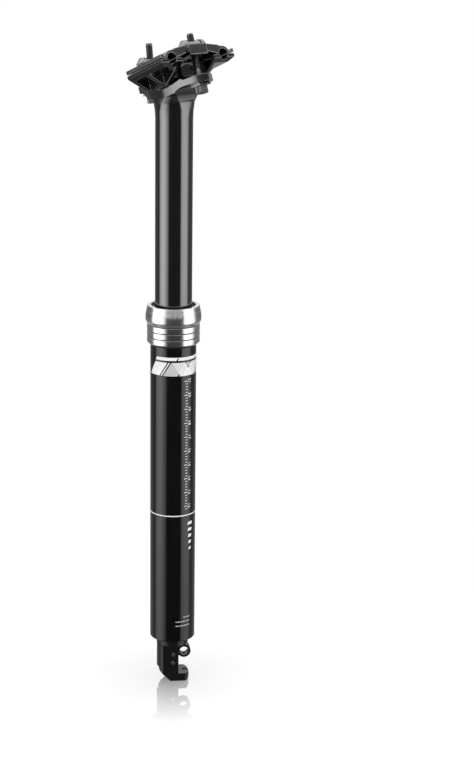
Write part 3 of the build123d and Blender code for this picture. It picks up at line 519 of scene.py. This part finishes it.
# print on the fixed tube, in millimetres and degrees: its ring, and its height scale with figures
tubePrint = {"radius": 15.8, "lift": 0.012, "thickness": 0.02, "ringHeight": -120.2, "ringWidth": 0.75,
             "scaleTop": -23.5, "scaleBottom": -115.6, "tickAngle": 169.5, "figureAngle": 185.0,
             "minorTick": 1.5, "majorTick": 2.6, "tickWidth": 0.45, "tickStep": 2.0, "tickColumns": 3,
             "figureSize": 3.5, "firstFigure": 21, "figureStep": 10.0, "figureCurve": 3,
             "columnWidth": 0.7, "rowHeight": 0.5, "ringSteps": 128, "ringSmooth": 30.0}


def wrapOnTube(bm, turnAngle):
    # flat x becomes the way round the tube, flat y the height
    look = tubePrint
    radius = (look["radius"] + look["lift"]) * mm
    for vert in bm.verts:
        angle = math.radians(turnAngle) + vert.co.x / radius
        lift = radius + vert.co.z
        vert.co = Vector((lift * math.cos(angle), lift * math.sin(angle), vert.co.y))


def addPatch(bm, left, right, low, high, lean=0.0, columns=0):
    # a slanted block in flat print units, left and right in millimetres of arc
    columns = columns or max(2, int((right - left) / tubePrint["columnWidth"]))
    rows = 1 + int(abs(lean) * (high - low) / tubePrint["rowHeight"])
    patch = bmesh.ops.create_grid(bm, x_segments=columns, y_segments=rows, size=0.5)
    for vert in patch["verts"]:
        x = left + (vert.co.x + 0.5) * (right - left)
        y = low + (vert.co.y + 0.5) * (high - low)
        vert.co = Vector(((x + lean * (y - low)) * mm, y * mm, 0.0))


def thicken(bm):
    solid = bmesh.ops.extrude_face_region(bm, geom=bm.faces[:])
    moved = [item for item in solid["geom"] if isinstance(item, bmesh.types.BMVert)]
    bmesh.ops.translate(bm, verts=moved, vec=(0, 0, tubePrint["thickness"] * mm))
    bmesh.ops.recalc_face_normals(bm, faces=bm.faces)


def flatFigure(text, size):
    curve = bpy.data.curves.new("figure", "FONT")
    curve.body = text
    curve.size = size * mm
    curve.align_x = "CENTER"
    curve.align_y = "CENTER"
    curve.resolution_u = tubePrint["figureCurve"]
    holder = bpy.data.objects.new("figure", curve)
    mesh = bpy.data.meshes.new_from_object(holder)
    bm = bmesh.new()
    bm.from_mesh(mesh)
    bpy.data.objects.remove(holder)
    bpy.data.curves.remove(curve)
    bpy.data.meshes.remove(mesh)
    return bm


def makeRing():
    look = tubePrint
    bm = bmesh.new()
    half = look["ringWidth"] / 2
    inner = look["radius"] + look["lift"]
    outer = inner + look["thickness"]
    outline = ((inner, -half), (outer, -half), (outer, half), (inner, half))
    verts = [bm.verts.new((r * mm, 0.0, (z + look["ringHeight"]) * mm)) for r, z in outline]
    edges = [bm.edges.new((verts[i], verts[(i + 1) % 4])) for i in range(4)]
    bmesh.ops.spin(bm, geom=verts + edges, cent=(0, 0, 0), axis=(0, 0, 1), angle=2 * math.pi,
                   steps=look["ringSteps"], use_merge=True)
    bmesh.ops.remove_doubles(bm, verts=bm.verts, dist=samePlace)
    bmesh.ops.recalc_face_normals(bm, faces=bm.faces)
    softEdges(bm, look["ringSmooth"])
    newPiece("insertionRing", bm, "tube", "printWhite")


def makeTicks():
    look = tubePrint
    bm = bmesh.new()
    count = int((look["scaleTop"] - look["scaleBottom"]) / look["tickStep"])
    ticksToFigure = round(look["figureStep"] / look["tickStep"])
    for index in range(count + 1):
        height = look["scaleTop"] - look["tickStep"] * index
        length = look["minorTick"] if index % ticksToFigure else look["majorTick"]
        addPatch(bm, look["majorTick"] - length, look["majorTick"], height - look["tickWidth"] / 2,
                 height + look["tickWidth"] / 2, columns=look["tickColumns"])
    thicken(bm)
    wrapOnTube(bm, look["tickAngle"])
    newPiece("scaleTicks", bm, "tube", "printWhite")


def makeFigures():
    look = tubePrint
    whole = bmesh.new()
    count = int((look["scaleTop"] - look["scaleBottom"]) / look["figureStep"])
    quarterTurn = Matrix.Rotation(-math.pi / 2, 3, "Z")
    for index in range(count + 1):
        bm = flatFigure(str(look["firstFigure"] - index), look["figureSize"])
        bmesh.ops.rotate(bm, verts=bm.verts, cent=(0, 0, 0), matrix=quarterTurn)
        height = look["scaleTop"] - look["figureStep"] * index
        bmesh.ops.translate(bm, verts=bm.verts, vec=(0, height * mm, 0))
        mesh = bpy.data.meshes.new("figure")
        bm.to_mesh(mesh)
        bm.free()
        whole.from_mesh(mesh)
        bpy.data.meshes.remove(mesh)
    bmesh.ops.triangulate(whole, faces=whole.faces)
    longEdges = [edge for edge in whole.edges if edge.calc_length() > look["columnWidth"] * mm]
    bmesh.ops.subdivide_edges(whole, edges=longEdges, cuts=2)
    bmesh.ops.triangulate(whole, faces=whole.faces)
    thicken(whole)
    wrapOnTube(whole, look["figureAngle"])
    newPiece("scaleFigures", whole, "tube", "printWhite")


# plain slanted bands under the collar: left, right, low, high and lean, in millimetres of arc
bands = {
    "white": ((-19.0, -9.5, -19.5, -10.0, 0.62), (-8.5, -7.6, -19.5, -10.0, 0.62),
              (8.4, 17.5, -19.5, -10.0, 0.62), (-13.0, 2.6, -8.6, -6.4, 0.62),
              (3.6, 5.2, -8.6, -6.4, 0.62), (6.2, 7.8, -8.6, -6.4, 0.62), (8.8, 18.0, -8.6, -6.4, 0.62)),
    "grey": ((-6.6, 3.4, -19.5, -10.0, 0.62), (4.6, 7.0, -19.5, -10.0, 0.62)),
    "angles": (138.0, -138.0),
}
# rows of small broken dashes near the tube's lower end
dashRows = {"rows": 3, "angle": 168.0, "top": -195.6, "step": 3.1, "height": 0.75, "gap": 0.45,
            "left": -5.4, "right": 5.8, "firstLeft": 0.4, "columns": 2,
            "dashes": (1.5, 0.8, 2.1, 1.1, 1.7, 0.9, 1.3)}
# short slanted bars under the ring, each narrower than the last
lowerBars = {"bars": 5, "angle": 188.0, "top": -125.5, "step": 4.6, "height": 2.108, "width": 4.2,
             "narrowing": 0.14, "lean": 0.3, "columns": 6}


def makeBands():
    for shade, finish in (("white", "printWhite"), ("grey", "printGrey")):
        bm = bmesh.new()
        for side, middle in enumerate(bands["angles"]):
            flip = 1 if side == 0 else -1
            part = bmesh.new()
            for left, right, low, high, lean in bands[shade]:
                addPatch(part, left, right, low, high, lean)
            thicken(part)
            for vert in part.verts:
                vert.co.x *= flip
            wrapOnTube(part, middle)
            mesh = bpy.data.meshes.new("bandPart")
            part.to_mesh(mesh)
            part.free()
            bm.from_mesh(mesh)
            bpy.data.meshes.remove(mesh)
        bmesh.ops.recalc_face_normals(bm, faces=bm.faces)
        newPiece("bands" + shade.title(), bm, "tube", finish)


def makeLowerBars():
    look = lowerBars
    bm = bmesh.new()
    for index in range(look["bars"]):
        high = look["top"] - look["step"] * index
        width = look["width"] * (1.0 - look["narrowing"] * index)
        addPatch(bm, -width / 2, width / 2, high - look["height"], high, look["lean"], look["columns"])
    thicken(bm)
    wrapOnTube(bm, look["angle"])
    newPiece("lowerBars", bm, "tube", "printWhite")


def makeDashRows():
    look = dashRows
    bm = bmesh.new()
    for row in range(look["rows"]):
        place = look["left"] if row else look["firstLeft"]
        count = row
        while place < look["right"]:
            length = look["dashes"][count % len(look["dashes"])]
            high = look["top"] - look["step"] * row
            addPatch(bm, place, min(place + length, look["right"]), high - look["height"], high,
                     columns=look["columns"])
            place += length + look["gap"]
            count += 1
    thicken(bm)
    wrapOnTube(bm, look["angle"])
    newPiece("dashRows", bm, "tube", "printGrey")


makeRing()
makeTicks()
makeFigures()
makeBands()
makeLowerBars()
makeDashRows()
print("print made")


# Floor, light and camera

floorLook = {"radius": 0.55, "height": -0.2472, "white": 1.0, "shadow": 0.3, "glow": 1.1, "mirror": 0.7,
             "mirrorStart": 0.004, "mirrorReach": 0.084, "mirrorRough": 0.03, "fadeStart": 0.12,
             "fadeEnd": 0.4, "segments": 96, "plain": (0.9, 0.9, 0.9, 1.0)}


def makeFloor():
    look = floorLook
    bm = bmesh.new()
    bmesh.ops.create_circle(bm, cap_ends=True, segments=look["segments"], radius=look["radius"])
    bmesh.ops.translate(bm, verts=bm.verts, vec=(0, 0, look["height"]))
    mesh = bpy.data.meshes.new("studioFloor")
    bm.to_mesh(mesh)
    bm.free()
    floor = bpy.data.objects.new("studioFloor", mesh)
    bpy.context.scene.collection.objects.link(floor)
    floor.visible_glossy = False
    material = bpy.data.materials.new("paleFloor")
    material.use_nodes = True
    tree = material.node_tree
    tree.nodes.clear()
    coords = tree.nodes.new("ShaderNodeTexCoord")
    length = tree.nodes.new("ShaderNodeVectorMath")
    length.operation = "LENGTH"
    level = stretched(tree, coords.outputs["Object"], (1.0, 1.0, 0.0))
    tree.links.new(level, length.inputs[0])
    distance = length.outputs["Value"]
    white = tree.nodes.new("ShaderNodeEmission")
    white.inputs["Strength"].default_value = look["glow"]
    plain = tree.nodes.new("ShaderNodeBsdfDiffuse")
    plain.inputs["Color"].default_value = look["plain"]
    mirror = tree.nodes.new("ShaderNodeBsdfGlossy")
    mirror.inputs["Roughness"].default_value = look["mirrorRough"]
    mirrorShare = spread(tree, distance, look["mirror"], 0.0, look["mirrorStart"], look["mirrorReach"])
    # white and shadow share what the mirror leaves
    shadowMix = tree.nodes.new("ShaderNodeMixShader")
    shadowMix.inputs[0].default_value = look["shadow"] / (look["white"] + look["shadow"])
    tree.links.new(white.outputs[0], shadowMix.inputs[1])
    tree.links.new(plain.outputs[0], shadowMix.inputs[2])
    mirrorMix = tree.nodes.new("ShaderNodeMixShader")
    tree.links.new(mirrorShare, mirrorMix.inputs[0])
    tree.links.new(shadowMix.outputs[0], mirrorMix.inputs[1])
    tree.links.new(mirror.outputs[0], mirrorMix.inputs[2])
    clear = tree.nodes.new("ShaderNodeBsdfTransparent")
    fade = tree.nodes.new("ShaderNodeMixShader")
    tree.links.new(spread(tree, distance, 0.0, 1.0, look["fadeStart"], look["fadeEnd"]), fade.inputs[0])
    tree.links.new(mirrorMix.outputs[0], fade.inputs[1])
    tree.links.new(clear.outputs[0], fade.inputs[2])
    path = tree.nodes.new("ShaderNodeLightPath")
    seen = tree.nodes.new("ShaderNodeMixShader")
    tree.links.new(path.outputs["Is Camera Ray"], seen.inputs[0])
    tree.links.new(plain.outputs[0], seen.inputs[1])
    tree.links.new(fade.outputs[0], seen.inputs[2])
    output = tree.nodes.new("ShaderNodeOutputMaterial")
    tree.links.new(seen.outputs[0], output.inputs["Surface"])
    mesh.materials.append(material)


# studio round the object: bearing from the camera in degrees, and brightness seen in gloss, in four
# rings of lights; the blends are the heights between which one ring passes into the next
studio = {
    "deep": ((-180, 0.5), (-118, 0.4), (-99, 0.25), (-93, 0.75), (-70, 1.0), (-52, 0.75), (-36, 0.25),
             (-30, 0.05), (0, 0.04), (41, 0.05), (47, 0.6), (72, 0.9), (92, 0.6), (106, 0.15),
             (118, 0.35), (180, 0.5)),
    "middle": ((-180, 0.25), (-118, 0.16), (-99, 0.16), (-94, 1.6), (-70, 2.9), (-57, 2.5), (-45, 1.6),
               (-36, 0.9), (-30, 0.06), (0, 0.045), (41, 0.06), (47, 1.7), (62, 2.3), (86, 2.0),
               (103, 0.3), (116, 0.16), (180, 0.25)),
    "upper": ((-180, 1.05), (-120, 1.05), (-100, 1.4), (-60, 2.0), (-36, 1.5), (-26, 0.8), (0, 0.7),
              (38, 0.8), (48, 1.5), (98, 1.5), (120, 1.05), (180, 1.05)),
    "high": ((-180, 1.05), (-135, 1.05), (-100, 0.4), (-60, 0.5), (-20, 0.25), (40, 0.12), (110, 0.12),
             (140, 1.05), (180, 1.05)),
    "top": 2.1, "under": 0.12, "plain": 0.9, "brightest": 3.2,
    "lowBlend": (-0.46, -0.2), "upperBlend": (0.03, 0.18), "highBlend": (0.34, 0.41),
    "roofBlend": (0.56, 0.8), "underBlend": (-0.85, -0.62),
}


def bearingRamp(tree, place, stops):
    node = tree.nodes.new("ShaderNodeValToRGB")
    ramp = node.color_ramp
    ramp.interpolation = "LINEAR"
    while len(ramp.elements) < len(stops):
        ramp.elements.new(0.5)
    for element, (bearing, light) in zip(ramp.elements, stops):
        element.position = (bearing + 180.0) / 360.0
        share = light / studio["brightest"]
        element.color = (share, share, share, 1.0)
    tree.links.new(place, node.inputs["Fac"])
    return node.outputs["Color"]


def makeStudio():
    world = bpy.data.worlds.new("softStudio")
    bpy.context.scene.world = world
    world.use_nodes = True
    tree = world.node_tree
    tree.nodes.clear()
    coords = tree.nodes.new("ShaderNodeTexCoord")
    split = tree.nodes.new("ShaderNodeSeparateXYZ")
    tree.links.new(coords.outputs["Generated"], split.inputs[0])
    bearing = mathNode(tree, "ARCTAN2", split.outputs[1], split.outputs[0])
    turned = mathNode(tree, "SUBTRACT", bearing, math.radians(viewAzimuth))
    wrapped = tree.nodes.new("ShaderNodeMath")
    wrapped.operation = "WRAP"
    tree.links.new(turned, wrapped.inputs[0])
    wrapped.inputs[1].default_value = math.pi
    wrapped.inputs[2].default_value = -math.pi
    place = mathNode(tree, "ADD", mathNode(tree, "DIVIDE", wrapped.outputs[0], 2 * math.pi), 0.5)
    deep = bearingRamp(tree, place, studio["deep"])
    middle = bearingRamp(tree, place, studio["middle"])
    upper = bearingRamp(tree, place, studio["upper"])
    high = bearingRamp(tree, place, studio["high"])

    def blend(factor, first, second):
        node = tree.nodes.new("ShaderNodeMix")
        node.data_type = "RGBA"
        tree.links.new(factor, node.inputs[mixFactor])
        for index, value in ((mixFirst, first), (mixSecond, second)):
            if isinstance(value, float):
                share = value / studio["brightest"]
                node.inputs[index].default_value = (share, share, share, 1.0)
            else:
                tree.links.new(value, node.inputs[index])
        return node.outputs[mixResult]

    height = split.outputs[2]
    low = blend(spread(tree, height, 1.0, 0.0, *studio["lowBlend"]), middle, deep)
    sides = blend(spread(tree, height, 0.0, 1.0, *studio["upperBlend"]), low, upper)
    shoulder = blend(spread(tree, height, 0.0, 1.0, *studio["highBlend"]), sides, high)
    roof = blend(spread(tree, height, 0.0, 1.0, *studio["roofBlend"]), shoulder, studio["top"])
    allRound = blend(spread(tree, height, 1.0, 0.0, *studio["underBlend"]), roof, studio["under"])
    gloss = tree.nodes.new("ShaderNodeBackground")
    gloss.inputs["Strength"].default_value = studio["brightest"]
    tree.links.new(allRound, gloss.inputs["Color"])
    plain = tree.nodes.new("ShaderNodeBackground")
    plain.inputs["Strength"].default_value = studio["plain"]
    white = tree.nodes.new("ShaderNodeBackground")
    white.inputs["Color"].default_value = (1.0, 1.0, 1.0, 1.0)
    white.inputs["Strength"].default_value = 1.0
    path = tree.nodes.new("ShaderNodeLightPath")
    glossMix = tree.nodes.new("ShaderNodeMixShader")
    tree.links.new(path.outputs["Is Glossy Ray"], glossMix.inputs[0])
    tree.links.new(plain.outputs[0], glossMix.inputs[1])
    tree.links.new(gloss.outputs[0], glossMix.inputs[2])
    straight = mathNode(tree, "MAXIMUM", path.outputs["Is Camera Ray"],
                        path.outputs["Is Transmission Ray"])
    whiteMix = tree.nodes.new("ShaderNodeMixShader")
    tree.links.new(straight, whiteMix.inputs[0])
    tree.links.new(glossMix.outputs[0], whiteMix.inputs[1])
    tree.links.new(white.outputs[0], whiteMix.inputs[2])
    output = tree.nodes.new("ShaderNodeOutputWorld")
    tree.links.new(whiteMix.outputs[0], output.inputs["Surface"])


lamps = {
    "leftLamp": {"bearing": -55.0, "height": 0.7, "distance": 1.6, "size": 0.9, "power": 9.0},
    "rightLamp": {"bearing": 70.0, "height": 0.4, "distance": 1.6, "size": 0.9, "power": 6.0},
    "topLamp": {"bearing": 10.0, "height": 1.6, "distance": 0.5, "size": 1.0, "power": 7.0},
}
lampTarget = Vector((0, 0, -0.02))


def makeLamps():
    for name, look in lamps.items():
        data = bpy.data.lights.new(name, "AREA")
        data.shape = "SQUARE"
        data.size = look["size"]
        data.energy = look["power"]
        lamp = bpy.data.objects.new(name, data)
        bearing = math.radians(viewAzimuth + look["bearing"])
        place = Vector((look["distance"] * math.cos(bearing), look["distance"] * math.sin(bearing),
                        look["height"]))
        lamp.location = place
        lamp.rotation_euler = (lampTarget - place).to_track_quat("-Z", "Y").to_euler()
        lamp.visible_glossy = False
        bpy.context.scene.collection.objects.link(lamp)


viewFrom = {"distance": 1.3316, "height": 0.3352, "pitch": 15.3, "roll": 0.22, "lens": 93.75,
            "shift": 0.0831, "sensor": 36.0, "nearest": 0.05, "farthest": 20.0}


def makeCamera():
    look = viewFrom
    bearing = math.radians(viewAzimuth)
    level = Vector((-math.cos(bearing), -math.sin(bearing), 0.0))
    pitch = math.radians(look["pitch"])
    forward = level * math.cos(pitch) + Vector((0, 0, -math.sin(pitch)))
    right = level.cross(Vector((0, 0, 1))).normalized()
    upward = right.cross(forward)
    roll = math.radians(look["roll"])
    rolledRight = right * math.cos(roll) + upward * math.sin(roll)
    rolledUp = upward * math.cos(roll) - right * math.sin(roll)
    data = bpy.data.cameras.new("photoView")
    data.sensor_width = look["sensor"]
    data.lens = look["lens"]
    data.shift_x = look["shift"]
    data.clip_start = look["nearest"]
    data.clip_end = look["farthest"]
    camera = bpy.data.objects.new("photoView", data)
    turn = Matrix((rolledRight, rolledUp, -forward)).transposed().to_4x4()
    place = -level * look["distance"] + Vector((0, 0, look["height"]))
    camera.matrix_world = Matrix.Translation(place) @ turn
    bpy.context.scene.collection.objects.link(camera)
    bpy.context.scene.camera = camera


makeFloor()
makeStudio()
makeLamps()
makeCamera()
bpy.context.scene.view_settings.view_transform = "Standard"
print("studio and camera made")
